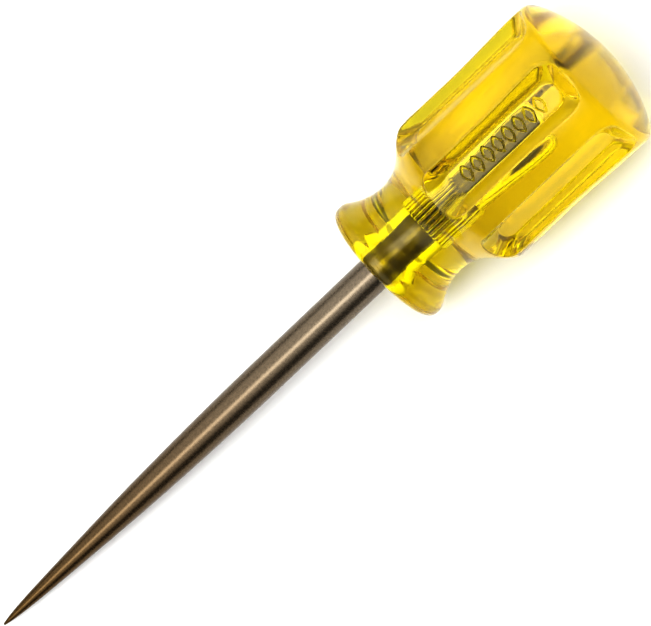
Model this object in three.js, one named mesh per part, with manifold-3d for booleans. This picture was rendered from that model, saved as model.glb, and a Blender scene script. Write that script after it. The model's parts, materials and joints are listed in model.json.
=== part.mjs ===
// Bookbinding awl: a tapered round steel blade held by its splined tang in a
// one-piece, clear amber acetate handle.  Millimetres, +Z up.
//
// The tool lies on its side, as it does on a bench, with one flute facing up and
// one facing down.  It rests on the collar's rim and on the front of the grip, on
// both sides of the lowest flute, and the point hangs about 1.3 mm clear of the
// surface.  -X is the point, +X is the butt.
//
// Each piece is drawn in a tool frame first: Y runs along the tool's axis from
// the front face of the collar (Y = 0) toward the butt, and Z is up.
import * as THREE from 'three';
import { mergeVertices } from 'three/addons/utils/BufferGeometryUtils.js';
import Module from 'manifold-3d';

// ---- driving dimensions -----------------------------------------------------
const BLADE_R = 3.125;            // 1/4 in ground stock
const BLADE_OUT = 90.05;          // exposed length, collar face to point
const TANG_END = 37.7;            // how far the tang reaches into the handle
const TANG_CHAMFER = 0.55;        // broken edge at the tang's inner end
const FIT_GAP = 0.08;             // radial air gap between the tang and its bore

const SPLINES = 30;               // fine ridges that keep the blade from turning
const SPLINE_R = 3.45;            // crest radius of the ridges
const SPLINE_FROM = 11.1;         // ridges start this far behind the collar face
const SPLINE_TO = 19.9;           // and end here
const SPLINE_HALF_CREST = 0.09;   // half width of a crest
const SPLINE_HALF_ROOT = 0.19;    // half width at the root

// Two wings are pressed out of the tang, one to each side, near its inner end, and
// they open the bore as they are driven in: [along the axis, height of the wing].
const WING = [
  [23.8, 0.0], [25.6, 0.09], [27.4, 0.24], [29.6, 0.42], [31.8, 0.50], [33.8, 0.42],
  [35.4, 0.23], [36.5, 0.06], [37.15, 0.0],
];
const WING_POCKET = [
  [17.6, 0.0], [20.6, 0.09], [23.8, 0.24], [25.6, 0.34], [27.4, 0.46], [29.6, 0.61],
  [31.8, 0.72], [34.0, 0.78], [35.6, 0.76], [36.8, 0.60], [37.5, 0.32], [37.9, 0.1],
];
const WING_NARROWING = 6;         // power of the cosine that shapes a wing round the tang

const MOUTH_R = 4.2;              // countersink at the mouth of the bore
const MOUTH_DEPTH = 2.4;
const BORE_END = 38.6;            // rounded end of the bore

const COLLAR_FLAT_R = 10.95;      // flat front face runs out to this radius
const COLLAR_R = 12.08;           // widest part of the collar
const WAIST_R = 9.555;            // thinnest part of the neck
const BODY_R = 14.87;             // grip, at its front
const BUTT_R = 15.31;             // grip, at its back
const DOME_R = 28.9;              // sphere that closes the butt
const DOME_CENTRE = 23.9;         // the sphere's centre along the axis
const DOME_FILLET = 1.8;          // rounding between the grip and the dome

const FLUTES = 6;
const FLUTE_FLOOR_H = 12.35;      // floor height above the axis
const FLUTE_HALF = 2.5;           // half width of the floor
const FLUTE_FROM = 19.55;         // floor starts
const FLUTE_TO = 45.0;            // floor ends
const SIDE_SLOPE = 0.826;         // rise over run of the side walls
const FRONT_SLOPE = 0.30;         // of the end wall that runs out on the shoulder
const REAR_SLOPE = 1.03;          // of the end wall by the butt
const CORNER_ACROSS = [2.3, 0.25]; // corner of the floor in plan, and growth per mm of rise
const CORNER_FRONT = [2.4, 0.5];   // the same, along the tool, at the front
const CORNER_REAR = [2.2, 0.2];    // and at the rear
const FLUTE_DEPTH = 3.8;          // height of the cutter, past the grip's surface

const REST_TILT = 6.510;          // degrees between the axis and the surface
const HANDLE_SEGMENTS = 72;
const BLADE_SEGMENTS = 36;

// ---- the lines that are turned round the axis: [along the axis, radius] -------
const COLLAR_AND_NECK = [
  [0.0, COLLAR_FLAT_R], [0.12, 11.42], [0.42, 11.82], [0.86, 12.02], [1.3, COLLAR_R],
  [1.9, 12.06], [2.45, 11.92], [3.1, 11.54], [4.1, 10.92], [5.2, 10.4], [6.6, 9.94],
  [8.0, 9.64], [9.2, WAIST_R], [10.4, 9.65], [11.6, 9.92], [12.8, 10.4],
  [13.8, 10.98], [14.6, 11.65], [15.5, 12.53], [16.4, 13.41], [17.2, 14.07],
  [17.9, 14.53], [18.6, 14.79], [19.4, BODY_R], [34.0, 14.92], [39.0, 15.11],
  [43.5, 15.27],
];
const TAPER = [
  [-90.05, 0.0], [-89.93, 0.13], [-89.65, 0.235], [-89.2, 0.34], [-88.4, 0.475],
  [-87.2, 0.635], [-85.5, 0.815], [-83.2, 1.01], [-80.5, 1.195], [-77.0, 1.415],
  [-73.0, 1.65], [-69.0, 1.885], [-65.0, 2.11], [-61.0, 2.32], [-57.0, 2.5],
  [-52.5, 2.655], [-48.0, 2.8], [-43.5, 2.92], [-38.5, 3.02], [-33.5, 3.088],
  [-28.0, BLADE_R],
];

const wasm = await Module();
wasm.setup();

// ---- helpers --------------------------------------------------------------------
function solid(geometry) {
  const g = geometry.index ? geometry.clone() : geometry;
  g.deleteAttribute('normal');
  g.deleteAttribute('uv');
  g.clearGroups();
  const merged = mergeVertices(g, 1e-5);
  const index = merged.index.array;
  const keep = [];
  for (let i = 0; i < index.length; i += 3) {
    const [a, b, c] = [index[i], index[i + 1], index[i + 2]];
    if (a !== b && b !== c && c !== a) keep.push(a, b, c);
  }
  return new wasm.Manifold(new wasm.Mesh({
    numProp: 3,
    vertProperties: new Float32Array(merged.attributes.position.array),
    triVerts: new Uint32Array(keep),
  }));
}

function geometryOf(manifold) {
  const mesh = manifold.getMesh();
  const g = new THREE.BufferGeometry();
  g.setAttribute('position', new THREE.BufferAttribute(new Float32Array(mesh.vertProperties), 3));
  g.setIndex(new THREE.BufferAttribute(new Uint32Array(mesh.triVerts), 1));
  g.computeVertexNormals();
  return g;
}

// Height in a [y, height] table, by straight lines between its points.
function heightAt(table, y) {
  if (y <= table[0][0] || y >= table[table.length - 1][0]) return 0;
  let i = 0;
  while (table[i + 1][0] < y) i++;
  const [[y0, h0], [y1, h1]] = [table[i], table[i + 1]];
  return h0 + (h1 - h0) * (y - y0) / (y1 - y0);
}

// Moves the outer points of a turned body out on its +X and -X sides.
function raiseWings(geometry, wing) {
  const pos = geometry.attributes.position;
  for (let i = 0; i < pos.count; i++) {
    const x = pos.getX(i), z = pos.getZ(i);
    const r = Math.hypot(x, z);
    if (r < 2.0) continue;
    const out = 1 + heightAt(wing, pos.getY(i)) * Math.abs(x / r) ** WING_NARROWING / r;
    pos.setX(i, x * out);
    pos.setZ(i, z * out);
  }
}

// A closed body turned round the Y axis from a line of [y, radius] points that
// starts and ends on the axis, listed from low y to high y.
function turned(line, segments, wing = null) {
  const points = line.map(([y, r]) => new THREE.Vector2(r, y));
  const g = new THREE.LatheGeometry(points, segments);
  if (wing) raiseWings(g, wing);
  let m = solid(g);
  if (m.volume() < 0) throw new Error('profile runs the wrong way');
  return m;
}

// ---- blade ------------------------------------------------------------------------
// Ridges of the splined length of the tang, as one toothed bar along Y.
function splineBar(extra, from, to) {
  const shape = new THREE.Shape();
  const root = BLADE_R - 0.35;
  const crest = SPLINE_R + extra;
  const halfRoot = SPLINE_HALF_ROOT + extra;
  const halfCrest = SPLINE_HALF_CREST + extra;
  for (let i = 0; i < SPLINES; i++) {
    const a = (i + 0.5) * 2 * Math.PI / SPLINES;
    const c = Math.cos(a), s = Math.sin(a);
    const put = (r, t) => [r * c - t * s, r * s + t * c];
    const corners = [put(root, -halfRoot), put(crest, -halfCrest), put(crest, halfCrest), put(root, halfRoot)];
    corners.forEach(([x, y], k) => (i === 0 && k === 0 ? shape.moveTo(x, y) : shape.lineTo(x, y)));
  }
  shape.closePath();
  const g = new THREE.ExtrudeGeometry(shape, { depth: to - from, bevelEnabled: false, steps: 1 });
  g.rotateX(-Math.PI / 2);          // the bar now runs along +Y
  g.translate(0, from, 0);
  return solid(g);
}

const bladeLine = [
  ...TAPER,
  [SPLINE_FROM - 6, BLADE_R],
  ...WING.slice(0, -1).map(([y]) => [y, BLADE_R]),
  [TANG_END - TANG_CHAMFER, BLADE_R],
  [TANG_END, BLADE_R - TANG_CHAMFER],
  [TANG_END, 0],
];
const blade = turned(bladeLine, BLADE_SEGMENTS, WING).add(splineBar(0, SPLINE_FROM, SPLINE_TO));

// ---- handle -----------------------------------------------------------------------
// Grip, fillet and dome share a tangent where they meet.
function domeLine() {
  const rc = BUTT_R - DOME_FILLET;
  const yc = DOME_CENTRE + Math.sqrt((DOME_R - DOME_FILLET) ** 2 - rc ** 2);
  const line = [];
  const turn = Math.atan2(yc - DOME_CENTRE, rc);
  for (let i = 0; i <= 4; i++) {
    const a = turn * i / 4;
    line.push([yc + DOME_FILLET * Math.sin(a), rc + DOME_FILLET * Math.cos(a)]);
  }
  for (let i = 1; i <= 9; i++) {
    const a = turn + (Math.PI / 2 - turn) * i / 9;
    line.push([DOME_CENTRE + DOME_R * Math.sin(a), i === 9 ? 0 : DOME_R * Math.cos(a)]);
  }
  return line;
}
let handle = turned([[0, 0], ...COLLAR_AND_NECK, ...domeLine()], HANDLE_SEGMENTS);

// A flute is cut by a block with a rounded floor and sloping walls.  This is its
// outline in plan at a given rise above the floor.
function fluteOutline(rise) {
  const across = CORNER_ACROSS[0] + CORNER_ACROSS[1] * rise;
  const front = CORNER_FRONT[0] + CORNER_FRONT[1] * rise;
  const rear = CORNER_REAR[0] + CORNER_REAR[1] * rise;
  const x = FLUTE_HALF + rise / SIDE_SLOPE - across;
  const y0 = FLUTE_FROM - rise / FRONT_SLOPE + front;
  const y1 = FLUTE_TO + rise / REAR_SLOPE - rear;
  const points = [];
  for (const [cx, cy, along, start] of [[x, y1, rear, 0], [-x, y1, rear, 90], [-x, y0, front, 180], [x, y0, front, 270]]) {
    for (let i = 0; i <= 6; i++) {
      const a = THREE.MathUtils.degToRad(start + 15 * i);
      points.push(new THREE.Vector2(cx + across * Math.cos(a), cy + along * Math.sin(a)));
    }
  }
  return points;
}

function fluteCutter() {
  const top = fluteOutline(FLUTE_DEPTH);
  const floor = fluteOutline(0);
  // An extrusion of the outline has its lower ring moved in to the floor.
  const g = new THREE.ExtrudeGeometry(new THREE.Shape(top), { depth: 1, bevelEnabled: false, steps: 1 });
  const pos = g.attributes.position;
  for (let i = 0; i < pos.count; i++) {
    const x = pos.getX(i), y = pos.getY(i);
    if (pos.getZ(i) < 0.5) {
      let best = 0, far = Infinity;
      top.forEach((p, k) => { const d = Math.hypot(p.x - x, p.y - y); if (d < far) { far = d; best = k; } });
      pos.setXYZ(i, floor[best].x, floor[best].y, FLUTE_FLOOR_H);
    } else pos.setZ(i, FLUTE_FLOOR_H + FLUTE_DEPTH);
  }
  return g;
}
for (let i = 0; i < FLUTES; i++) {
  const g = fluteCutter();
  g.rotateY(i * 2 * Math.PI / FLUTES);
  handle = handle.subtract(solid(g));
}

// Bore: the tang's own shape, larger by the air gap, with a countersunk mouth.
const boreR = BLADE_R + FIT_GAP;
const boreLine = [
  [-1, 0],
  [-1, MOUTH_R + (MOUTH_R - boreR) / MOUTH_DEPTH],
  [0, MOUTH_R],
  [MOUTH_DEPTH, boreR],
  ...WING_POCKET.slice(0, -1).map(([y]) => [y, boreR]),
  [TANG_END + 0.1, boreR - 0.45],
  [BORE_END - 0.2, boreR - 1.6],
  [BORE_END, 0],
];
handle = handle.subtract(turned(boreLine, BLADE_SEGMENTS, WING_POCKET));
handle = handle.subtract(splineBar(FIT_GAP, SPLINE_FROM - FIT_GAP, SPLINE_TO + FIT_GAP));

// ---- assembly -----------------------------------------------------------------------
const awl = new THREE.Group();
awl.name = 'bookbinding_awl';

const acetate = new THREE.MeshStandardMaterial({
  color: 0xf0b90c, roughness: 0.12, metalness: 0, transparent: true, opacity: 0.6,
});
const steel = new THREE.MeshStandardMaterial({ color: 0x6a5f52, roughness: 0.36, metalness: 1 });

const tool = new THREE.Group();      // tool frame: Y toward the butt, Z up
const handleMesh = new THREE.Mesh(geometryOf(handle), acetate);
handleMesh.name = 'handle';
const bladeMesh = new THREE.Mesh(geometryOf(blade), steel);
bladeMesh.name = 'blade';
tool.add(bladeMesh, handleMesh);
tool.rotation.z = -Math.PI / 2;       // Y of the tool frame becomes +X

const lying = new THREE.Group();
lying.add(tool);
lying.rotation.y = -THREE.MathUtils.degToRad(REST_TILT);
awl.add(lying);

// The origin is under the middle of the tool's box, on the surface it lies on.
awl.updateMatrixWorld(true);
const box = new THREE.Box3().setFromObject(awl, true);
lying.position.set(-(box.min.x + box.max.x) / 2, 0, -box.min.z);
awl.updateMatrixWorld(true);

export default awl;
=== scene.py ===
# Looks of the bookbinding awl: a finely turned steel blade and a moulded, clear amber
# acetate handle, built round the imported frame.  Metres in the scene; the shape code
# works in millimetres in the tool's own frame and converts at the end.
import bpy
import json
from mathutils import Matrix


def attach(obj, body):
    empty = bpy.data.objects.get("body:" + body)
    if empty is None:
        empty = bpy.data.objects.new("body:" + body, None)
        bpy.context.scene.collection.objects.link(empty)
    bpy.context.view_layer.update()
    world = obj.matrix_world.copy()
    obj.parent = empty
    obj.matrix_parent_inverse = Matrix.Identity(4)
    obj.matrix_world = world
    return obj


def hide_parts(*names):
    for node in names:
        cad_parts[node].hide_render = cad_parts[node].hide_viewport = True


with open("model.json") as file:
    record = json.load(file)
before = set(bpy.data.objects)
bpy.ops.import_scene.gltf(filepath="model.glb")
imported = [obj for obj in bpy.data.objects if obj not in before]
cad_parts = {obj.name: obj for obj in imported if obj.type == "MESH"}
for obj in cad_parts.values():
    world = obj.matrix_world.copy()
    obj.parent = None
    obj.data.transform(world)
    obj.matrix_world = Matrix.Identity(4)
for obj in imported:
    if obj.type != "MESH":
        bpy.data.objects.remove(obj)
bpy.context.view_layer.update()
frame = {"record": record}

import json
import math

import bpy
import numpy as np
from mathutils import Matrix, Vector
from mathutils.geometry import delaunay_2d_cdt

# ---- the tool's frame, from the record's mount on the collar's flat front face -----------
MOUNT = next(m for m in frame["record"]["mounts"] if m["name"] == "collar_front_face")
AXIS = -Vector(MOUNT["axis"]).normalized()            # along the tool, toward the butt
SIDE = Vector((0.0, -1.0, 0.0))                       # across the tool, level
UP = SIDE.cross(AXIS).normalized()                    # out of the top flute
FACE = Vector(MOUNT["pos_m"]) - UP * 0.0075           # centre of the collar's front face

# ---- sizes, millimetres: the same ones as the CAD -----------------------------------------
BLADE_R = 3.125
TANG_END = 37.7
BORE_END = 38.6
FIT_GAP = 0.08
SPLINES = 30
SPLINE_R = 3.45
SPLINE_FROM, SPLINE_TO = 11.1, 19.9
MOUTH_R, MOUTH_DEPTH = 4.2, 2.4
COLLAR_FLAT_R, COLLAR_R = 10.95, 12.08
BUTT_R, DOME_R, DOME_CENTRE, DOME_FILLET = 15.31, 28.9, 23.9, 1.8
FLUTE_FLOOR_H, FLUTE_HALF = 12.35, 2.5
FLUTE_FROM, FLUTE_TO = 19.55, 45.0
SIDE_SLOPE, FRONT_SLOPE, REAR_SLOPE = 0.826, 0.30, 1.03
CORNER_ACROSS, CORNER_FRONT, CORNER_REAR = (2.3, 0.25), (2.4, 0.5), (2.2, 0.2)

NECK = np.array([
    [1.3, COLLAR_R], [1.9, 12.06], [2.45, 11.92], [3.1, 11.54], [4.1, 10.92], [5.2, 10.4],
    [6.6, 9.94], [8.0, 9.64], [9.2, 9.555], [10.4, 9.65], [11.6, 9.92], [12.8, 10.4],
    [13.8, 10.98], [14.6, 11.65], [15.5, 12.53], [16.4, 13.41], [17.2, 14.07],
    [17.9, 14.53], [18.6, 14.79], [19.4, 14.87], [24.0, 14.88], [34.0, 14.92],
    [39.0, 15.11], [43.5, 15.27], [47.0, BUTT_R],
])
TAPER = np.array([
    [-90.05, 0.0], [-89.93, 0.13], [-89.65, 0.235], [-89.2, 0.34], [-88.4, 0.475],
    [-87.2, 0.635], [-85.5, 0.815], [-83.2, 1.01], [-80.5, 1.195], [-77.0, 1.415],
    [-73.0, 1.65], [-69.0, 1.885], [-65.0, 2.11], [-61.0, 2.32], [-57.0, 2.5],
    [-52.5, 2.655], [-48.0, 2.8], [-43.5, 2.92], [-38.5, 3.02], [-33.5, 3.088],
    [-28.0, BLADE_R],
])

# wings pressed out of the tang on two sides, and the pocket they open in the bore
WING = np.array([
    [23.8, 0.0], [25.6, 0.09], [27.4, 0.24], [29.6, 0.42], [31.8, 0.50], [33.8, 0.42],
    [35.4, 0.23], [36.5, 0.06], [37.15, 0.0],
])
WING_POCKET = np.array([
    [17.6, 0.0], [20.6, 0.09], [23.8, 0.24], [25.6, 0.34], [27.4, 0.46], [29.6, 0.61],
    [31.8, 0.72], [34.0, 0.78], [35.6, 0.76], [36.8, 0.60], [37.5, 0.32], [37.9, 0.1], [38.1, 0.0],
])
WING_NARROWING = 6


# ---- helpers ----------------------------------------------------------------------------------
def to_world(p):
    """Tool frame (across, along, up) in mm to scene metres."""
    p = np.asarray(p, dtype=float)
    m = np.array([list(SIDE), list(AXIS), list(UP)])
    return np.array(list(FACE)) + (p @ m) * 0.001


def monotone(xs, ys, x):
    """Smooth curve through points without overshoot (Fritsch-Carlson)."""
    xs, ys, x = np.asarray(xs, float), np.asarray(ys, float), np.asarray(x, float)
    h = np.diff(xs)
    d = np.diff(ys) / h
    m = np.zeros_like(ys)
    m[0], m[-1] = d[0], d[-1]
    same = d[:-1] * d[1:] > 0
    w1, w2 = 2 * h[1:] + h[:-1], h[1:] + 2 * h[:-1]
    with np.errstate(divide="ignore", invalid="ignore"):
        inner = (w1 + w2) / (w1 / d[:-1] + w2 / d[1:])
    m[1:-1] = np.where(same, inner, 0.0)
    i = np.clip(np.searchsorted(xs, x) - 1, 0, len(h) - 1)
    t = (x - xs[i]) / h[i]
    return (ys[i] * (1 + 2 * t) * (1 - t) ** 2 + h[i] * m[i] * t * (1 - t) ** 2
            + ys[i + 1] * t * t * (3 - 2 * t) + h[i] * m[i + 1] * t * t * (t - 1))


def smooth_curve(points, x):
    """Centred-slope cubic through points: keeps the curvature even along a turned profile."""
    xs, ys = points[:, 0], points[:, 1]
    h = np.diff(xs)
    d = np.diff(ys) / h
    m = np.empty_like(ys)
    m[0], m[-1] = d[0], d[-1]
    m[1:-1] = (d[:-1] * h[1:] + d[1:] * h[:-1]) / (h[:-1] + h[1:])
    x = np.asarray(x, float)
    i = np.clip(np.searchsorted(xs, x) - 1, 0, len(h) - 1)
    t = (x - xs[i]) / h[i]
    return (ys[i] * (1 + 2 * t) * (1 - t) ** 2 + h[i] * m[i] * t * (1 - t) ** 2
            + ys[i + 1] * t * t * (3 - 2 * t) + h[i] * m[i + 1] * t * t * (t - 1))


def steps(start, end, count):
    return list(np.linspace(start, end, count, endpoint=False))


def ring_points(radius, along, angles):
    radius = np.broadcast_to(radius, angles.shape)
    along = np.broadcast_to(along, angles.shape)
    return np.stack([radius * np.sin(angles), along, radius * np.cos(angles)], axis=1)


class MeshMaker:
    """Collects rows of vertices and faces, then makes one Blender mesh."""

    def __init__(self):
        self.verts, self.faces, self.count = [], [], 0

    def row(self, points):
        points = np.atleast_2d(points)
        self.verts.append(points)
        start = self.count
        self.count += len(points)
        return np.arange(start, self.count)

    def band(self, a, b, skip=None):
        """Quads between two rows of the same length, which close on themselves."""
        n = len(a)
        j = np.arange(n)
        k = (j + 1) % n
        keep = np.ones(n, bool) if skip is None else ~skip
        quads = np.stack([a[j], a[k], b[k], b[j]], axis=1)[keep]
        self.faces.extend(map(tuple, quads.tolist()))

    def fan(self, row, tip):
        n = len(row)
        for j in range(n):
            self.faces.append((int(row[j]), int(row[(j + 1) % n]), int(tip)))

    def zip_rows(self, a, ang_a, b, ang_b):
        """Triangles between two closed rows with different counts, by angle."""
        na, nb = len(a), len(b)
        i = j = 0
        while i < na or j < nb:
            next_a = ang_a[i + 1] if i + 1 < na else ang_a[0] + 2 * math.pi
            next_b = ang_b[j + 1] if j + 1 < nb else ang_b[0] + 2 * math.pi
            if j >= nb or (i < na and next_a <= next_b):
                self.faces.append((int(a[i % na]), int(a[(i + 1) % na]), int(b[j % nb])))
                i += 1
            else:
                self.faces.append((int(b[(j + 1) % nb]), int(b[j % nb]), int(a[i % na])))
                j += 1

    def where(self, way):
        return np.concatenate(self.verts)[list(way)].round(3).tolist()

    def build(self, name):
        points = to_world(np.concatenate(self.verts))
        ways = set()
        for f in self.faces:
            for i in range(len(f)):
                way = (int(f[i]), int(f[(i + 1) % len(f)]))
                if way in ways:
                    raise RuntimeError("%s: two faces run the same way along edge %s, %s" % (name, way, self.where(way)))
                ways.add(way)
        mesh = bpy.data.meshes.new(name)
        mesh.from_pydata([], [], [])
        sizes = np.array([len(f) for f in self.faces], dtype=np.int32)
        starts = np.concatenate([[0], np.cumsum(sizes)[:-1]]).astype(np.int32)
        loops = np.fromiter((v for f in self.faces for v in f), dtype=np.int32, count=int(sizes.sum()))
        mesh.vertices.add(len(points))
        mesh.vertices.foreach_set("co", points.astype(np.float32).ravel())
        mesh.loops.add(len(loops))
        mesh.loops.foreach_set("vertex_index", loops)
        mesh.polygons.add(len(sizes))
        mesh.polygons.foreach_set("loop_start", starts)
        mesh.polygons.foreach_set("use_smooth", np.ones(len(sizes), dtype=bool))
        mesh.update(calc_edges=True)
        if mesh.validate(verbose=False):
            raise RuntimeError(name + ": the mesh had to be repaired")
        # faces must point out: the signed volume says which way they go
        tri = mesh.loop_triangles
        mesh.calc_loop_triangles()
        idx = np.empty(len(tri) * 3, dtype=np.int32)
        tri.foreach_get("vertices", idx)
        p = points[idx.reshape(-1, 3)]
        volume = float(np.einsum("ij,ij->i", p[:, 0], np.cross(p[:, 1], p[:, 2])).sum() / 6)
        if volume < 0:
            mesh.flip_normals()
        edges = np.empty(len(mesh.loops), dtype=np.int32)
        mesh.loops.foreach_get("edge_index", edges)
        if int((np.bincount(edges, minlength=len(mesh.edges)) != 2).sum()):
            raise RuntimeError(name + ": the mesh is not closed")
        obj = bpy.data.objects.new(name, mesh)
        bpy.context.scene.collection.objects.link(obj)
        print(name, "vertices", len(points), "triangles", len(tri), "volume mm3", round(abs(volume) * 1e9, 1))
        return obj


# ---- the handle's outer surface -------------------------------------------------------------------
def body_radius(along):
    return smooth_curve(NECK, along)


def flute_plan(along, across, height):
    """Distance in plan to the flute's outline at this height: above zero in the material."""
    rise = np.maximum(height - FLUTE_FLOOR_H, -0.6)
    low = np.maximum(rise, -0.3)
    mid = 0.5 * (FLUTE_FROM + FLUTE_TO)
    front = along < mid
    r_across = CORNER_ACROSS[0] + CORNER_ACROSS[1] * low
    r_along = np.where(front, CORNER_FRONT[0] + CORNER_FRONT[1] * low, CORNER_REAR[0] + CORNER_REAR[1] * low)
    edge = np.where(front, mid - FLUTE_FROM + rise / FRONT_SLOPE, FLUTE_TO - mid + rise / REAR_SLOPE)
    u = (np.abs(across) - (FLUTE_HALF + rise / SIDE_SLOPE - r_across)) / r_across
    w = (np.abs(along - mid) - (edge - r_along)) / r_along
    up, wp = np.maximum(u, 0.0), np.maximum(w, 0.0)
    q = np.maximum(np.hypot(up, wp), 1e-6)
    corner = (q - 1.0) * q / np.maximum(np.hypot(up / r_across, wp / r_along), 1e-6)
    inner = np.maximum((u - 1.0) * r_across, (w - 1.0) * r_along)
    return np.where((u > 0) | (w > 0), corner, inner)


def flute_solid(along, across, height):
    """Above zero inside the material, near a flute's floor, side walls and end walls."""
    h = 0.02
    d = flute_plan(along, across, height)
    lean = (flute_plan(along, across, height + h) - flute_plan(along, across, height - h)) / (2 * h)
    wall = d / np.sqrt(1.0 + lean * lean)
    floor = FLUTE_FLOOR_H - height
    k = 0.22                                   # fillet at the foot of the walls
    gap = np.maximum(k - np.abs(wall - floor), 0.0)
    return np.maximum(wall, floor) + gap * gap / (4 * k)


SECTOR = 2 * math.pi / 6


def outer_radius(along, angles, body, body_slope):
    """Distance from the axis to the surface, where flutes cut the turned body, with soft rims."""
    local = (angles + SECTOR / 2) % SECTOR - SECTOR / 2
    lo = np.full(angles.shape, 9.0)
    hi = np.full(angles.shape, 16.5)
    k = 0.34                                   # width of the rounding along a rim, mm
    body_scale = 1.0 / math.sqrt(1.0 + body_slope ** 2)
    for _ in range(34):
        r = 0.5 * (lo + hi)
        f_body = (body - r) * body_scale
        f_flute = flute_solid(along, r * np.sin(local), r * np.cos(local))
        gap = np.maximum(k - np.abs(f_body - f_flute), 0.0)
        f = np.minimum(f_body, f_flute) - gap * gap / (4 * k)
        inside = f > 0
        lo = np.where(inside, r, lo)
        hi = np.where(inside, hi, r)
    return 0.5 * (lo + hi)


def half_sector():
    deg = (steps(0.0, 10.6, 10) + steps(10.6, 12.5, 6) + steps(12.5, 17.2, 6)
           + steps(17.2, 19.4, 8) + steps(19.4, 30.0, 6))
    return np.radians(np.array(deg))


def column_angles():
    h = half_sector()
    sector = np.concatenate([-(h[1:][::-1]), h])             # open at -30, runs to just under +30
    sector = np.concatenate([[-SECTOR / 2], sector])
    return np.concatenate([sector + i * SECTOR for i in range(6)])


ANG = column_angles()
ORDER = np.argsort(ANG % (2 * math.pi))
ANG = (ANG % (2 * math.pi))[ORDER]
N_BORE = 360
BORE_ANG = np.arange(N_BORE) * 2 * math.pi / N_BORE


def ridge_wave(angles, widen):
    """0 in a valley, 1 on a ridge of the splined part of the tang."""
    pitch = 2 * math.pi / SPLINES
    local = np.abs((angles % pitch) - pitch / 2) * BLADE_R     # arc distance from the ridge's middle
    return 0.5 + 0.5 * np.cos(math.pi * np.clip((local - (0.04 + widen)) / 0.235, 0.0, 1.0))


def spline_amount(along, margin):
    ramp = 0.35
    return float(np.clip(min(along - (SPLINE_FROM - margin), (SPLINE_TO + margin) - along) / ramp, 0.0, 1.0))


def wings(table, along, angles):
    """Extra radius of the wings, or of their pocket, which stand out level to both sides."""
    if along <= table[0, 0] or along >= table[-1, 0]:
        return np.zeros(angles.shape)
    return float(monotone(table[:, 0], table[:, 1], along)) * np.abs(np.sin(angles)) ** WING_NARROWING


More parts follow.
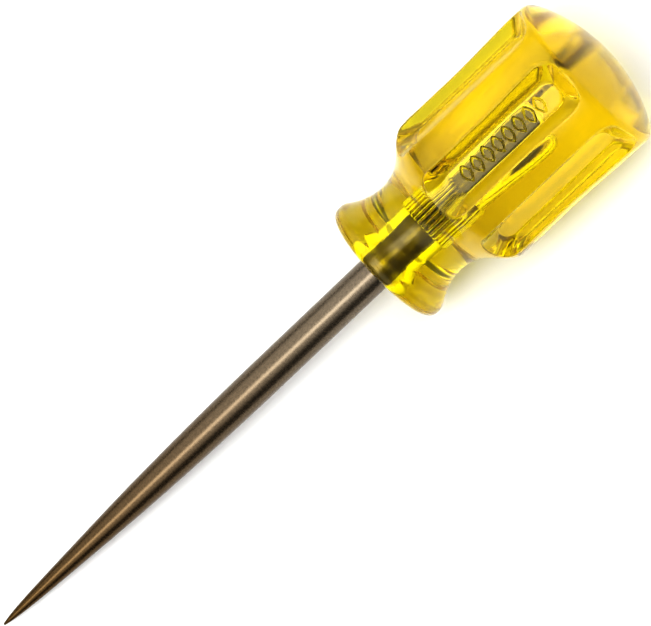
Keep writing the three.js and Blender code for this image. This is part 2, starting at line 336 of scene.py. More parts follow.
def build_handle():
    mk = MeshMaker()
    # -- bore, from its closed end out to the mouth
    gap_r = BLADE_R + FIT_GAP
    bore = [(38.56, 0.45), (38.48, 1.0), (38.33, 1.65), (38.12, 2.3), (37.92, 2.75), (37.68, 3.02),
            (37.4, 3.15), (37.1, gap_r)]
    bore += [(float(x), gap_r) for x in np.linspace(36.8, SPLINE_TO + 0.75, 22)]
    bore += [(SPLINE_TO + 0.45, gap_r)]
    bore += [(SPLINE_TO + 0.1 - 0.35 * i / 3, gap_r) for i in range(4)]
    bore += [(19.0, gap_r), (18.3, gap_r), (17.6, gap_r), (15.2, gap_r)]
    bore += [(SPLINE_FROM - 0.1 + 0.35 * (3 - i) / 3, gap_r) for i in range(4)]
    cone = (MOUTH_R - gap_r) / MOUTH_DEPTH
    bore += [(SPLINE_FROM - 0.45, gap_r), (5.0, gap_r), (MOUTH_DEPTH + 0.2, gap_r), (MOUTH_DEPTH + 0.1, gap_r + 0.008),
             (MOUTH_DEPTH, gap_r + 0.02), (MOUTH_DEPTH - 0.1, gap_r + 0.1 * cone + 0.008)]
    bore += [(x, MOUTH_R - cone * x) for x in (MOUTH_DEPTH - 0.2, 1.6, 0.9, 0.3)]
    bore += [(0.10, MOUTH_R - 0.02), (0.04, MOUTH_R + 0.015), (0.01, MOUTH_R + 0.06), (0.0, MOUTH_R + 0.12),
             (0.0, MOUTH_R + 0.3)]
    tip = mk.row([[0.0, 38.57, 0.0]])[0]
    rows = []
    for along, r in bore:
        amount = spline_amount(along, 0.1) if SPLINE_FROM - 1 < along < SPLINE_TO + 1 else 0.0
        radius = r + np.maximum((SPLINE_R - BLADE_R) * amount * (0.55 + 0.45 * ridge_wave(BORE_ANG, 0.05)),
                                wings(WING_POCKET, along, BORE_ANG))
        rows.append(mk.row(ring_points(radius, along, BORE_ANG)))
    mk.fan(rows[0][::-1], tip)
    for a, b in zip(rows[:-1], rows[1:]):
        mk.band(a, b)
    mouth = rows[-1]

    # -- outside, from the flat face over the collar, neck, grip and dome
    prof = [(0.0, 10.78, None), (0.0, COLLAR_FLAT_R, None)]
    for i in range(1, 11):
        a = 0.5 * math.pi * i / 10
        prof.append((1.3 * (1 - math.cos(a)), COLLAR_FLAT_R + (COLLAR_R - COLLAR_FLAT_R) * math.sin(a), None))
    along = (steps(1.3, 3.4, 9)[1:] + steps(3.4, 13.0, 17) + steps(13.0, 16.4, 12) + steps(16.4, 22.4, 40)
             + steps(22.4, 42.4, 18) + steps(42.4, 47.0, 26))
    prof += [(x, float(body_radius(x)), "cut") for x in along]
    rc = BUTT_R - DOME_FILLET
    yc = DOME_CENTRE + math.sqrt((DOME_R - DOME_FILLET) ** 2 - rc ** 2)
    turn = math.atan2(yc - DOME_CENTRE, rc)
    for x in steps(47.0, yc, 3):
        prof.append((x, BUTT_R, "cut"))
    for i in range(0, 11):
        a = turn * i / 10
        prof.append((yc + DOME_FILLET * math.sin(a), rc + DOME_FILLET * math.cos(a), "cut"))
    for i in range(1, 18):
        a = turn + (math.pi / 2 - turn) * i / 18
        prof.append((DOME_CENTRE + DOME_R * math.sin(a), DOME_R * math.cos(a), None))
    apex = DOME_CENTRE + DOME_R

    plate = np.where(np.minimum(ANG, 2 * math.pi - ANG) < math.radians(9.55))[0]
    plate_cols = np.sort(((plate + len(ANG) // 2) % len(ANG)))   # contiguous after a half turn
    rows, info = [], []
    for i, (x, r, kind) in enumerate(prof):
        if kind == "cut" and x > 15.0:
            x0, r0 = prof[i - 1][0], prof[i - 1][1]
            x1, r1 = prof[i + 1][0], prof[i + 1][1]
            slope = (r1 - r0) / max(x1 - x0, 1e-6)
            radius = outer_radius(x, ANG, r, slope)
        else:
            radius = np.full(ANG.shape, r)
        rows.append(mk.row(ring_points(radius, x, ANG)))
        info.append(x)
    mk.zip_rows(mouth, BORE_ANG, rows[0], ANG)

    # the flat floor of the top flute is left open here for its raised marking
    x0 = min(x for x in info if x > 21.95)
    x1 = max(x for x in info if x < 42.75)
    hole_rows = [i for i, x in enumerate(info) if x0 <= x <= x1]
    inside = np.minimum(ANG, 2 * math.pi - ANG) < math.radians(9.56)
    nxt = np.roll(inside, -1)
    skip_cols = inside & nxt
    for i in range(len(rows) - 1):
        skip = skip_cols if (i in hole_rows and i + 1 in hole_rows) else None
        mk.band(rows[i], rows[i + 1], skip)
    top = mk.row([[0.0, apex, 0.0]])[0]
    mk.fan(rows[-1], top)

    # -- the marked floor: a fine plate that fills the opening
    cols = [int(c) for c in np.where(inside)[0]]
    cols.sort(key=lambda c: ANG[c] if ANG[c] < math.pi else ANG[c] - 2 * math.pi)
    all_pts = np.concatenate(mk.verts)
    loop = [int(rows[hole_rows[0]][c]) for c in cols]
    loop += [int(rows[i][cols[-1]]) for i in hole_rows[1:-1]]
    loop += [int(rows[hole_rows[-1]][c]) for c in reversed(cols)]
    loop += [int(rows[i][cols[0]]) for i in reversed(hole_rows[1:-1])]
    rim = all_pts[loop]
    if np.abs(rim[:, 2] - FLUTE_FLOOR_H).max() > 2e-3:
        raise RuntimeError("the marked floor is not flat at its edge: %.4f" % np.abs(rim[:, 2] - FLUTE_FLOOR_H).max())
    half = float(np.abs(rim[:, 0]).max()) - 0.12
    pitch = 0.10
    na = int(round((x1 - x0 - 0.3) / pitch))
    nc = int(round(2 * half / pitch))
    ga = np.linspace(x0 + 0.15, x1 - 0.15, na + 1)
    gc = np.linspace(-half, half, nc + 1)
    GA, GC = np.meshgrid(ga, gc, indexing="ij")
    relief = marking(GA, GC, x0 + 0.5, x1 - 0.5)
    relief[0, :] = relief[-1, :] = 0.0
    relief[:, 0] = relief[:, -1] = 0.0
    pts = np.stack([GC.ravel(), GA.ravel(), FLUTE_FLOOR_H + relief.ravel()], axis=1)
    ids = mk.row(pts).reshape(na + 1, nc + 1)
    for i in range(na):
        a, b, c, d = ids[i, :-1], ids[i, 1:], ids[i + 1, 1:], ids[i + 1, :-1]
        mk.faces.extend(map(tuple, np.stack([a, b, c, d], axis=1).tolist()))
    # border between the plate and the opening
    inner = ([int(v) for v in ids[0, :]] + [int(v) for v in ids[1:-1, -1]]
             + [int(v) for v in ids[-1, ::-1]] + [int(v) for v in ids[-2:0:-1, 0]])
    all_pts = np.concatenate(mk.verts)
    ring = loop + inner
    flat = [Vector((float(all_pts[v][0]), float(all_pts[v][1]))) for v in ring]
    n0, n1 = len(loop), len(inner)
    edges = [(i, (i + 1) % n0) for i in range(n0)] + [(n0 + i, n0 + (i + 1) % n1) for i in range(n1)]
    vs, _, fs, _, _, _ = delaunay_2d_cdt(flat, edges, [], 0, 1e-7)
    if len(vs) != len(ring):
        raise RuntimeError("the border of the marked floor gained points")
    la, lc = x0 + 0.15, half
    for f in fs:
        tri = [vs[i] for i in f]
        cx = sum(p.x for p in tri) / len(tri)
        cy = sum(p.y for p in tri) / len(tri)
        if abs(cx) < half - 1e-6 and x0 + 0.15 + 1e-6 < cy < x1 - 0.15 - 1e-6:
            continue
        mk.faces.append(tuple(ring[i] for i in f))
    return mk.build("amber_handle")


def marking(along, across, start, end):
    """Relief of a plain row of hollow lozenges, in mm above the floor."""
    count = 8
    pitch = (end - start) / count
    cell = np.floor((along - start) / pitch)
    ok = (cell >= 0) & (cell < count)
    centre = start + (cell + 0.5) * pitch
    length, width = 0.385 * pitch, 1.66
    u, v = np.abs(along - centre) / length, np.abs(across) / width
    # distance to the outline, in mm; its sides swell and its corners are round
    power = 1.35
    q = (u ** power + v ** power) ** (1 / power)
    d = (q - 1.0) * length * width / np.hypot(length * v, width * u + 1e-6)
    bar = np.clip(1.0 - (np.abs(d + 0.18) / 0.21) ** 2, 0.0, 1.0)
    return np.where(ok & (q > 0.2), 0.20 * bar ** 0.6, 0.0)


# ---- the blade -----------------------------------------------------------------------------------------
def build_blade():
    mk = MeshMaker()
    n = 360
    ang = np.arange(n) * 2 * math.pi / n
    near = [-89.99, -89.93, -89.82, -89.65, -89.45, -89.2, -88.85, -88.4, -87.85, -87.2]
    along = near + list(np.linspace(-86.4, -28.0, 44)) + list(np.linspace(-26.0, 0.0, 8))[:-1]
    along += [0.0, 4.0, SPLINE_FROM - 0.3]
    along += [SPLINE_FROM + 0.35 * i / 4 for i in range(5)]
    along += [13.0, 17.0]
    along += [SPLINE_TO - 0.35 * (4 - i) / 4 for i in range(5)]
    along += [SPLINE_TO + 0.3] + list(np.linspace(22.4, 37.0, 26))
    def radius(x):
        if x <= -28.0:
            if x < -89.65:                           # a fine rounded point
                return 0.235 * math.sqrt(max(0.0, 1 - ((-89.65 - x) / 0.4) ** 2)) if x > -90.05 else 0.0
            return float(monotone(TAPER[:, 0], TAPER[:, 1], x))
        return BLADE_R
    tip = mk.row([[0.0, -90.05, 0.0]])[0]
    rows = []
    for x in along:
        amount = spline_amount(x, 0.0) if SPLINE_FROM - 0.01 < x < SPLINE_TO + 0.01 else 0.0
        r = radius(x) + (SPLINE_R - BLADE_R) * amount * ridge_wave(ang, 0.0) + wings(WING, x, ang)
        rows.append(mk.row(ring_points(r, x, ang)))
    for x, r in ((37.10, BLADE_R), (37.17, BLADE_R - 0.02), (37.23, BLADE_R - 0.07), (37.64, 2.66), (37.69, 2.59),
                 (TANG_END, 2.5), (TANG_END, 1.4)):
        rows.append(mk.row(ring_points(r, x, ang)))
    mk.fan(rows[0][::-1], tip)
    for a, b in zip(rows[:-1], rows[1:]):
        mk.band(a, b)
    end = mk.row([[0.0, TANG_END, 0.0]])[0]
    mk.fan(rows[-1], end)
    return mk.build("steel_blade")


# ---- materials ---------------------------------------------------------------------------------------------
def new_material(name):
    mat = bpy.data.materials.new(name)
    mat.use_nodes = True
    nt = mat.node_tree
    nt.nodes.clear()
    return mat, nt


def link(nt, a, b):
    nt.links.new(a, b)


def tool_coordinates(nt, coord):
    """Sockets with the distance along the tool's axis and the radius from it, in mm."""
    off = nt.nodes.new("ShaderNodeVectorMath")
    off.operation = "SUBTRACT"
    link(nt, coord.outputs["Object"], off.inputs[0])
    off.inputs[1].default_value = tuple(FACE)
    dot = nt.nodes.new("ShaderNodeVectorMath")
    dot.operation = "DOT_PRODUCT"
    link(nt, off.outputs["Vector"], dot.inputs[0])
    dot.inputs[1].default_value = tuple(AXIS * 1000.0)
    cross = nt.nodes.new("ShaderNodeVectorMath")
    cross.operation = "CROSS_PRODUCT"
    link(nt, off.outputs["Vector"], cross.inputs[0])
    cross.inputs[1].default_value = tuple(AXIS * 1000.0)
    length = nt.nodes.new("ShaderNodeVectorMath")
    length.operation = "LENGTH"
    link(nt, cross.outputs["Vector"], length.inputs[0])
    return dot.outputs["Value"], length.outputs["Value"]


def ramp_node(nt, socket, x0, x1, y0, y1, smooth=False):
    node = nt.nodes.new("ShaderNodeMapRange")
    if smooth:
        node.interpolation_type = "SMOOTHSTEP"
    node.inputs["From Min"].default_value = x0
    node.inputs["From Max"].default_value = x1
    node.inputs["To Min"].default_value = y0
    node.inputs["To Max"].default_value = y1
    link(nt, socket, node.inputs["Value"])
    return node.outputs["Result"]


def math_node(nt, operation, a, b):
    node = nt.nodes.new("ShaderNodeMath")
    node.operation = operation
    for i, v in enumerate((a, b)):
        if isinstance(v, (int, float)):
            node.inputs[i].default_value = float(v)
        else:
            link(nt, v, node.inputs[i])
    return node.outputs["Value"]


def acetate_material():
    mat, nt = new_material("amber_acetate")
    out = nt.nodes.new("ShaderNodeOutputMaterial")
    bsdf = nt.nodes.new("ShaderNodeBsdfPrincipled")
    bsdf.inputs["Base Color"].default_value = (1.0, 0.93, 0.78, 1.0)
    bsdf.inputs["Metallic"].default_value = 0.0
    bsdf.inputs["IOR"].default_value = 1.48
    bsdf.inputs["Specular IOR Level"].default_value = 0.12
    bsdf.inputs["Specular Tint"].default_value = (1.0, 0.88, 0.5, 1.0)
    bsdf.inputs["Transmission Weight"].default_value = 0.995   # the rest is a faint haze
    coord = nt.nodes.new("ShaderNodeTexCoord")
    # slow waviness left by moulding and buffing
    wave = nt.nodes.new("ShaderNodeTexNoise")
    wave.inputs["Scale"].default_value = 210.0
    wave.inputs["Detail"].default_value = 2.0
    link(nt, coord.outputs["Object"], wave.inputs["Vector"])
    # fine handling scratches, long in one direction
    mapping = nt.nodes.new("ShaderNodeMapping")
    mapping.inputs["Rotation"].default_value = (0.3, 0.5, 0.9)
    mapping.inputs["Scale"].default_value = (1.0, 9.0, 9.0)
    link(nt, coord.outputs["Object"], mapping.inputs["Vector"])
    scratch = nt.nodes.new("ShaderNodeTexNoise")
    scratch.inputs["Scale"].default_value = 900.0
    scratch.inputs["Detail"].default_value = 3.0
    link(nt, mapping.outputs["Vector"], scratch.inputs["Vector"])
    ramp = nt.nodes.new("ShaderNodeMapRange")
    ramp.inputs["From Min"].default_value = 0.35
    ramp.inputs["From Max"].default_value = 0.75
    ramp.inputs["To Min"].default_value = 0.004
    ramp.inputs["To Max"].default_value = 0.038
    link(nt, scratch.outputs["Fac"], ramp.inputs["Value"])
    # the dome is buffed softer than the moulded sides, and the raised marking is frosted
    along, radius = tool_coordinates(nt, coord)
    off = nt.nodes.new("ShaderNodeVectorMath")
    off.operation = "SUBTRACT"
    link(nt, coord.outputs["Object"], off.inputs[0])
    off.inputs[1].default_value = tuple(FACE)
    parts = []
    for vec in (UP, SIDE):
        dot = nt.nodes.new("ShaderNodeVectorMath")
        dot.operation = "DOT_PRODUCT"
        link(nt, off.outputs["Vector"], dot.inputs[0])
        dot.inputs[1].default_value = tuple(vec * 1000.0)
        parts.append(dot.outputs["Value"])
    height, side = parts
    dome = ramp_node(nt, along, 46.2, 48.2, 0.0, 0.10, True)
    raised = ramp_node(nt, height, FLUTE_FLOOR_H + 0.04, FLUTE_FLOOR_H + 0.12, 0.0, 0.45, True)
    raised = math_node(nt, "MULTIPLY", raised, ramp_node(nt, math_node(nt, "ABSOLUTE", side, 0.0), 1.78, 1.88, 1.0, 0.0))
    raised = math_node(nt, "MULTIPLY", raised, ramp_node(nt, along, 21.9, 22.1, 0.0, 1.0))
    raised = math_node(nt, "MULTIPLY", raised, ramp_node(nt, along, 42.7, 42.9, 1.0, 0.0))
    rough = math_node(nt, "ADD", math_node(nt, "ADD", ramp.outputs["Result"], dome), raised)
    link(nt, rough, bsdf.inputs["Roughness"])
    bump1 = nt.nodes.new("ShaderNodeBump")
    bump1.inputs["Strength"].default_value = 0.05
    bump1.inputs["Distance"].default_value = 0.00012
    link(nt, wave.outputs["Fac"], bump1.inputs["Height"])
    bump2 = nt.nodes.new("ShaderNodeBump")
    bump2.inputs["Strength"].default_value = 0.12
    bump2.inputs["Distance"].default_value = 0.00002
    link(nt, scratch.outputs["Fac"], bump2.inputs["Height"])
    link(nt, bump1.outputs["Normal"], bump2.inputs["Normal"])
    link(nt, bump2.outputs["Normal"], bsdf.inputs["Normal"])
    link(nt, bsdf.outputs["BSDF"], out.inputs["Surface"])
    vol = nt.nodes.new("ShaderNodeVolumeAbsorption")
    vol.inputs["Color"].default_value = (0.9915, 0.9850, 0.06, 1.0)
    vol.inputs["Density"].default_value = 800.0
    link(nt, vol.outputs["Volume"], out.inputs["Volume"])
    return mat


def steel_material():
    mat, nt = new_material("ground_steel")
    out = nt.nodes.new("ShaderNodeOutputMaterial")
    bsdf = nt.nodes.new("ShaderNodeBsdfPrincipled")
    bsdf.inputs["Metallic"].default_value = 1.0
    coord = nt.nodes.new("ShaderNodeTexCoord")
    sep = nt.nodes.new("ShaderNodeSeparateXYZ")
    link(nt, coord.outputs["Object"], sep.inputs["Vector"])
    # colour: browner and darker toward the point
    run = nt.nodes.new("ShaderNodeMapRange")
    run.inputs["From Min"].default_value = -0.072
    run.inputs["From Max"].default_value = 0.010
    link(nt, sep.outputs["X"], run.inputs["Value"])
    ramp = nt.nodes.new("ShaderNodeValToRGB")
    ramp.color_ramp.elements[0].position = 0.0
    ramp.color_ramp.elements[0].color = (0.087, 0.052, 0.019, 1)
    ramp.color_ramp.elements[1].position = 1.0
    ramp.color_ramp.elements[1].color = (0.174, 0.142, 0.103, 1)
    mid = ramp.color_ramp.elements.new(0.45)
    mid.color = (0.126, 0.089, 0.052, 1)
    link(nt, run.outputs["Result"], ramp.inputs["Fac"])
    grain = nt.nodes.new("ShaderNodeTexNoise")
    grain.inputs["Scale"].default_value = 2600.0
    grain.inputs["Detail"].default_value = 4.0
    link(nt, coord.outputs["Object"], grain.inputs["Vector"])
    mix = nt.nodes.new("ShaderNodeMix")
    mix.data_type = "RGBA"
    mix.blend_type = "MULTIPLY"
    mix.inputs["Factor"].default_value = 1.0
    tone = nt.nodes.new("ShaderNodeMapRange")
    tone.inputs["From Min"].default_value = 0.3
    tone.inputs["From Max"].default_value = 0.7
    tone.inputs["To Min"].default_value = 0.84
    tone.inputs["To Max"].default_value = 1.14
    link(nt, grain.outputs["Fac"], tone.inputs["Value"])
    comb = nt.nodes.new("ShaderNodeCombineColor")
    for c in ("Red", "Green", "Blue"):
        link(nt, tone.outputs["Result"], comb.inputs[c])
    link(nt, ramp.outputs["Color"], mix.inputs["A"])
    link(nt, comb.outputs["Color"], mix.inputs["B"])
    # painted shade: the steel's colour is multiplied down to 0.62 where the tang runs inside the handle
    tang = nt.nodes.new("ShaderNodeMapRange")
    tang.inputs["From Min"].default_value = 0.0180
    tang.inputs["From Max"].default_value = 0.0190
    tang.inputs["To Min"].default_value = 1.0
    tang.inputs["To Max"].default_value = 0.62
    link(nt, sep.outputs["X"], tang.inputs["Value"])
    dark = nt.nodes.new("ShaderNodeMix")
    dark.data_type = "RGBA"
    dark.blend_type = "MULTIPLY"
    dark.inputs["Factor"].default_value = 1.0
    tang_painted_shade_colour = nt.nodes.new("ShaderNodeCombineColor")
    for c in ("Red", "Green", "Blue"):
        link(nt, tang.outputs["Result"], tang_painted_shade_colour.inputs[c])
    link(nt, mix.outputs["Result"], dark.inputs["A"])
    link(nt, tang_painted_shade_colour.outputs["Color"], dark.inputs["B"])
    # the ridges: painted highlight on the crests and painted shade in the valleys, the steel's colour scaled from 0.06
    # in a valley to 3.2 on a crest
    along, radius = tool_coordinates(nt, coord)
    on_ridges = math_node(nt, "MULTIPLY", ramp_node(nt, along, SPLINE_FROM, SPLINE_FROM + 0.25, 0.0, 1.0),
                          ramp_node(nt, along, SPLINE_TO - 0.25, SPLINE_TO, 1.0, 0.0))
    ridge = ramp_node(nt, radius, BLADE_R + 0.04, SPLINE_R - 0.06, 0.06, 3.2)
    scale = math_node(nt, "ADD", 1.0, math_node(nt, "MULTIPLY", on_ridges, math_node(nt, "SUBTRACT", ridge, 1.0)))
    ridge_painted_light_colour = nt.nodes.new("ShaderNodeCombineColor")
    for c in ("Red", "Green", "Blue"):
        link(nt, scale, ridge_painted_light_colour.inputs[c])
    painted_ridge_light = nt.nodes.new("ShaderNodeMix")
    painted_ridge_light.data_type = "RGBA"
    painted_ridge_light.blend_type = "MULTIPLY"
    painted_ridge_light.inputs["Factor"].default_value = 1.0
    link(nt, dark.outputs["Result"], painted_ridge_light.inputs["A"])
    link(nt, ridge_painted_light_colour.outputs["Color"], painted_ridge_light.inputs["B"])
    link(nt, painted_ridge_light.outputs["Result"], bsdf.inputs["Base Color"])
    # grinding lines run round the blade: noise squeezed along the tool's length
    mapping = nt.nodes.new("ShaderNodeMapping")
    mapping.inputs["Scale"].default_value = (9.0, 0.6, 0.6)
    link(nt, coord.outputs["Object"], mapping.inputs["Vector"])
    lines = nt.nodes.new("ShaderNodeTexNoise")
    lines.inputs["Scale"].default_value = 900.0
    lines.inputs["Detail"].default_value = 3.0
    link(nt, mapping.outputs["Vector"], lines.inputs["Vector"])
    rough = nt.nodes.new("ShaderNodeMapRange")
    rough.inputs["To Min"].default_value = 0.20
    rough.inputs["To Max"].default_value = 0.34
    link(nt, grain.outputs["Fac"], rough.inputs["Value"])
    inside = nt.nodes.new("ShaderNodeMapRange")      # the tang is left as drawn, not ground
    inside.inputs["From Min"].default_value = 0.0180
    inside.inputs["From Max"].default_value = 0.0190
    inside.inputs["To Min"].default_value = 0.0
    inside.inputs["To Max"].default_value = 0.36
    link(nt, sep.outputs["X"], inside.inputs["Value"])
    rsum = nt.nodes.new("ShaderNodeMath")
    rsum.operation = "ADD"
    link(nt, rough.outputs["Result"], rsum.inputs[0])
    link(nt, inside.outputs["Result"], rsum.inputs[1])
    link(nt, math_node(nt, "SUBTRACT", rsum.outputs["Value"], math_node(nt, "MULTIPLY", on_ridges, 0.34)),
         bsdf.inputs["Roughness"])
    bump = nt.nodes.new("ShaderNodeBump")
    bump.inputs["Strength"].default_value = 0.25
    bump.inputs["Distance"].default_value = 0.00003
    link(nt, lines.outputs["Fac"], bump.inputs["Height"])
    bump2 = nt.nodes.new("ShaderNodeBump")
    bump2.inputs["Strength"].default_value = 0.08
    bump2.inputs["Distance"].default_value = 0.00002
    link(nt, grain.outputs["Fac"], bump2.inputs["Height"])
    link(nt, bump.outputs["Normal"], bump2.inputs["Normal"])
    link(nt, bump2.outputs["Normal"], bsdf.inputs["Normal"])
    link(nt, bsdf.outputs["BSDF"], out.inputs["Surface"])
    return mat


def floor_material():
    mat, nt = new_material("studio_floor")
    out = nt.nodes.new("ShaderNodeOutputMaterial")
    bsdf = nt.nodes.new("ShaderNodeBsdfPrincipled")
    coord = nt.nodes.new("ShaderNodeTexCoord")
    # painted pool of light: the floor's colour fades from 0.93 near the middle to 0.50 at 0.85 m out, a painted falloff
    # of the lamps' light
    length = nt.nodes.new("ShaderNodeVectorMath")
    length.operation = "LENGTH"
    link(nt, coord.outputs["Object"], length.inputs[0])
    ramp = nt.nodes.new("ShaderNodeMapRange")
    ramp.interpolation_type = "SMOOTHERSTEP"
    ramp.inputs["From Min"].default_value = 0.08
    ramp.inputs["From Max"].default_value = 0.85
    ramp.inputs["To Min"].default_value = 0.0
    ramp.inputs["To Max"].default_value = 1.0
    link(nt, length.outputs["Value"], ramp.inputs["Value"])
    mix = nt.nodes.new("ShaderNodeMix")
    mix.data_type = "RGBA"
    mix.inputs["A"].default_value = (0.93, 0.93, 0.925, 1.0)
    mix.inputs["B"].default_value = (0.50, 0.50, 0.498, 1.0)
    link(nt, ramp.outputs["Result"], mix.inputs["Factor"])
    link(nt, mix.outputs["Result"], bsdf.inputs["Base Color"])
    bsdf.inputs["Roughness"].default_value = 0.85
    bsdf.inputs["Specular IOR Level"].default_value = 0.1
    link(nt, bsdf.outputs["BSDF"], out.inputs["Surface"])
    return mat


handle = build_handle()
handle.data.materials.append(acetate_material())
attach(handle, "root")
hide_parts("handle")

blade = build_blade()
blade.data.materials.append(steel_material())
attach(blade, "root")
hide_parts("blade")

# ---- floor ---------------------------------------------------------------------------------------------------
floor_mesh = bpy.data.meshes.new("floor")
floor_mesh.from_pydata([(-15, -15, 0), (15, -15, 0), (15, 15, 0), (-15, 15, 0)], [], [(0, 1, 2, 3)])
floor = bpy.data.objects.new("floor", floor_mesh)
floor.location.z = -0.00002
bpy.context.scene.collection.objects.link(floor)
floor_mesh.materials.append(floor_material())

# ---- camera: nearly straight down, 12 degrees toward the butt from square-on to the tool -----------------------
PX_PER_MM, WIDTH, HEIGHT = 5.95, 651, 626
TILT, TURN, ROLL = math.radians(12.0), math.radians(6.4), math.radians(43.5)
across_dir = (SIDE * math.cos(TURN) - UP * math.sin(TURN)).normalized()
view = ((UP * math.cos(TURN) + SIDE * math.sin(TURN)) * math.cos(TILT) + AXIS * math.sin(TILT)).normalized()
e_s = (AXIS - view * AXIS.dot(view)).normalized()
e_t = e_s.cross(view).normalized()
right = e_s * math.cos(ROLL) + e_t * math.sin(ROLL)
up = e_s * math.sin(ROLL) - e_t * math.cos(ROLL)
target = FACE + AXIS * (-0.01275) + e_t * (-0.00080)
distance = 3.5
cam_data = bpy.data.cameras.new("camera")
cam_data.type = "PERSP"
cam_data.sensor_fit = "HORIZONTAL"
cam_data.sensor_width = 36.0
cam_data.lens = 36.0 * distance / (WIDTH / PX_PER_MM * 0.001)
cam_data.clip_start, cam_data.clip_end = 0.05, 30.0
cam = bpy.data.objects.new("camera", cam_data)
cam.matrix_world = Matrix.Translation(target + view * distance) @ Matrix((right, up, view)).transposed().to_4x4()
bpy.context.scene.collection.objects.link(cam)
bpy.context.scene.camera = cam

# ---- lights ------------------------------------------------------------------------------------------------------
centre = FACE + AXIS * 0.0


def area(name, direction, dist, size_x, size_y, power, color=(1, 1, 1), x_axis=None):
    d = direction.normalized()
    z = d
    x = (x_axis if x_axis is not None else Vector((0, 1, 0)))
    x = (x - z * x.dot(z)).normalized()
    y = z.cross(x)
    light = bpy.data.lights.new(name, "AREA")
    light.shape = "RECTANGLE"
    light.size, light.size_y = size_x, size_y
    light.energy = power
    light.color = color
    obj = bpy.data.objects.new(name, light)
    obj.matrix_world = Matrix.Translation(centre + d * dist) @ Matrix((x, y, z)).transposed().to_4x4()
    obj.visible_camera = False
    bpy.context.scene.collection.objects.link(obj)
    return obj


def tilted(deg_t, deg_s):
    """A direction leaning from the view by deg_t toward lower right and deg_s toward the butt."""
    a, b = math.radians(deg_t), math.radians(deg_s)
    return (view + e_t * math.tan(a) + e_s * math.tan(b)).normalized()


area("top", tilted(-4, -8), 1.6, 0.5, 0.5, 0.6, x_axis=e_s)

# a plain studio dome: a wide soft source to the upper left, weaker ones at both ends,
# and a dark side at the lower right
world = bpy.data.worlds.new("studio")
world.use_nodes = True
wnt = world.node_tree
bg = wnt.nodes["Background"]
bg.inputs["Strength"].default_value = 1.0
wcoord = wnt.nodes.new("ShaderNodeTexCoord")


def lobe(direction, inner, outer, level):
    """A round soft source: full within inner degrees of its direction, gone past outer."""
    dot = wnt.nodes.new("ShaderNodeVectorMath")
    dot.operation = "DOT_PRODUCT"
    wnt.links.new(wcoord.outputs["Generated"], dot.inputs[0])
    dot.inputs[1].default_value = tuple(direction.normalized())
    mr = wnt.nodes.new("ShaderNodeMapRange")
    mr.interpolation_type = "SMOOTHSTEP"
    mr.inputs["From Min"].default_value = math.cos(math.radians(outer))
    mr.inputs["From Max"].default_value = math.cos(math.radians(inner))
    mr.inputs["To Min"].default_value = 0.0
    mr.inputs["To Max"].default_value = level
    wnt.links.new(dot.outputs["Value"], mr.inputs["Value"])
    return mr.outputs["Result"]


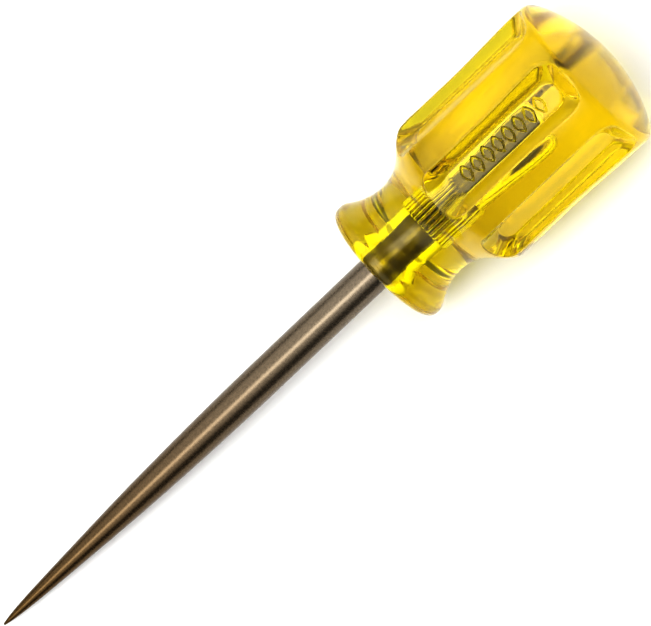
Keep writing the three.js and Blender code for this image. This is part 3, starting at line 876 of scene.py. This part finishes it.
def soft_strip(direction, long_axis, across_in, across_out, along_in, along_out, level):
    """A long soft source: full inside the inner half angles, gone past the outer ones."""
    d = direction.normalized()
    y = (long_axis - d * long_axis.dot(d)).normalized()
    x = d.cross(y)
    value = None
    for vec, inner, outer in ((x, across_in, across_out), (y, along_in, along_out), (d, None, None)):
        dot = wnt.nodes.new("ShaderNodeVectorMath")
        dot.operation = "DOT_PRODUCT"
        wnt.links.new(wcoord.outputs["Generated"], dot.inputs[0])
        dot.inputs[1].default_value = tuple(vec)
        mr = wnt.nodes.new("ShaderNodeMapRange")
        mr.interpolation_type = "SMOOTHSTEP"
        out = dot.outputs["Value"]
        if inner is None:
            mr.inputs["From Min"].default_value = 0.0
            mr.inputs["From Max"].default_value = 0.2
        else:
            size = wnt.nodes.new("ShaderNodeMath")
            size.operation = "ABSOLUTE"
            wnt.links.new(out, size.inputs[0])
            out = size.outputs["Value"]
            mr.inputs["From Min"].default_value = math.sin(math.radians(outer))
            mr.inputs["From Max"].default_value = math.sin(math.radians(inner))
        mr.inputs["To Min"].default_value = 0.0
        mr.inputs["To Max"].default_value = level if value is None else 1.0
        wnt.links.new(out, mr.inputs["Value"])
        if value is None:
            value = mr.outputs["Result"]
        else:
            mul = wnt.nodes.new("ShaderNodeMath")
            mul.operation = "MULTIPLY"
            wnt.links.new(value, mul.inputs[0])
            wnt.links.new(mr.outputs["Result"], mul.inputs[1])
            value = mul.outputs["Value"]
    return value


Z = Vector((0, 0, 1))
sources = [
    soft_strip(tilted(-7.8, -8), e_s, 4, 14, 22, 46, 3.15),
    lobe(e_t * -0.95 + Z * 0.95 - e_s * 0.1, 14, 46, 1.0),
    lobe(e_s * 0.95 + Z * 0.65 - e_t * 0.2, 12, 42, 0.35),
    lobe(e_s * -0.64 + Z * 0.70 + e_t * 0.26, 14, 34, 1.05),
]
# a pale band low on the horizon, so that the floor has no hard far edge
height = wnt.nodes.new("ShaderNodeSeparateXYZ")
wnt.links.new(wcoord.outputs["Generated"], height.inputs["Vector"])
low = wnt.nodes.new("ShaderNodeMapRange")
low.interpolation_type = "SMOOTHSTEP"
low.inputs["From Min"].default_value = 0.16
low.inputs["From Max"].default_value = 0.01
low.inputs["To Min"].default_value = 0.0
low.inputs["To Max"].default_value = 0.36
wnt.links.new(height.outputs["Z"], low.inputs["Value"])
sources.append(low.outputs["Result"])
total = None
for out in sources:
    if total is None:
        total = out
        continue
    add = wnt.nodes.new("ShaderNodeMath")
    add.operation = "ADD"
    wnt.links.new(total, add.inputs[0])
    wnt.links.new(out, add.inputs[1])
    total = add.outputs["Value"]
base = wnt.nodes.new("ShaderNodeMath")
base.operation = "ADD"
base.inputs[1].default_value = 0.12
wnt.links.new(total, base.inputs[0])
wnt.links.new(base.outputs["Value"], bg.inputs["Color"])
bpy.context.scene.world = world

# ---- picture settings ------------------------------------------------------------------------------------------------
scene = bpy.context.scene
scene.view_settings.view_transform = "Standard"
scene.view_settings.look = "High Contrast"
scene.view_settings.exposure = 0.31
scene.view_settings.gamma = 1.0
scene.cycles.use_denoising = True
scene.cycles.max_bounces = 32
scene.cycles.transmission_bounces = 28
scene.cycles.glossy_bounces = 12
scene.cycles.diffuse_bounces = 5
scene.cycles.transparent_max_bounces = 16
scene.cycles.caustics_reflective = True
scene.cycles.caustics_refractive = True
scene.cycles.blur_glossy = 0.3
scene.cycles.sample_clamp_indirect = 8.0
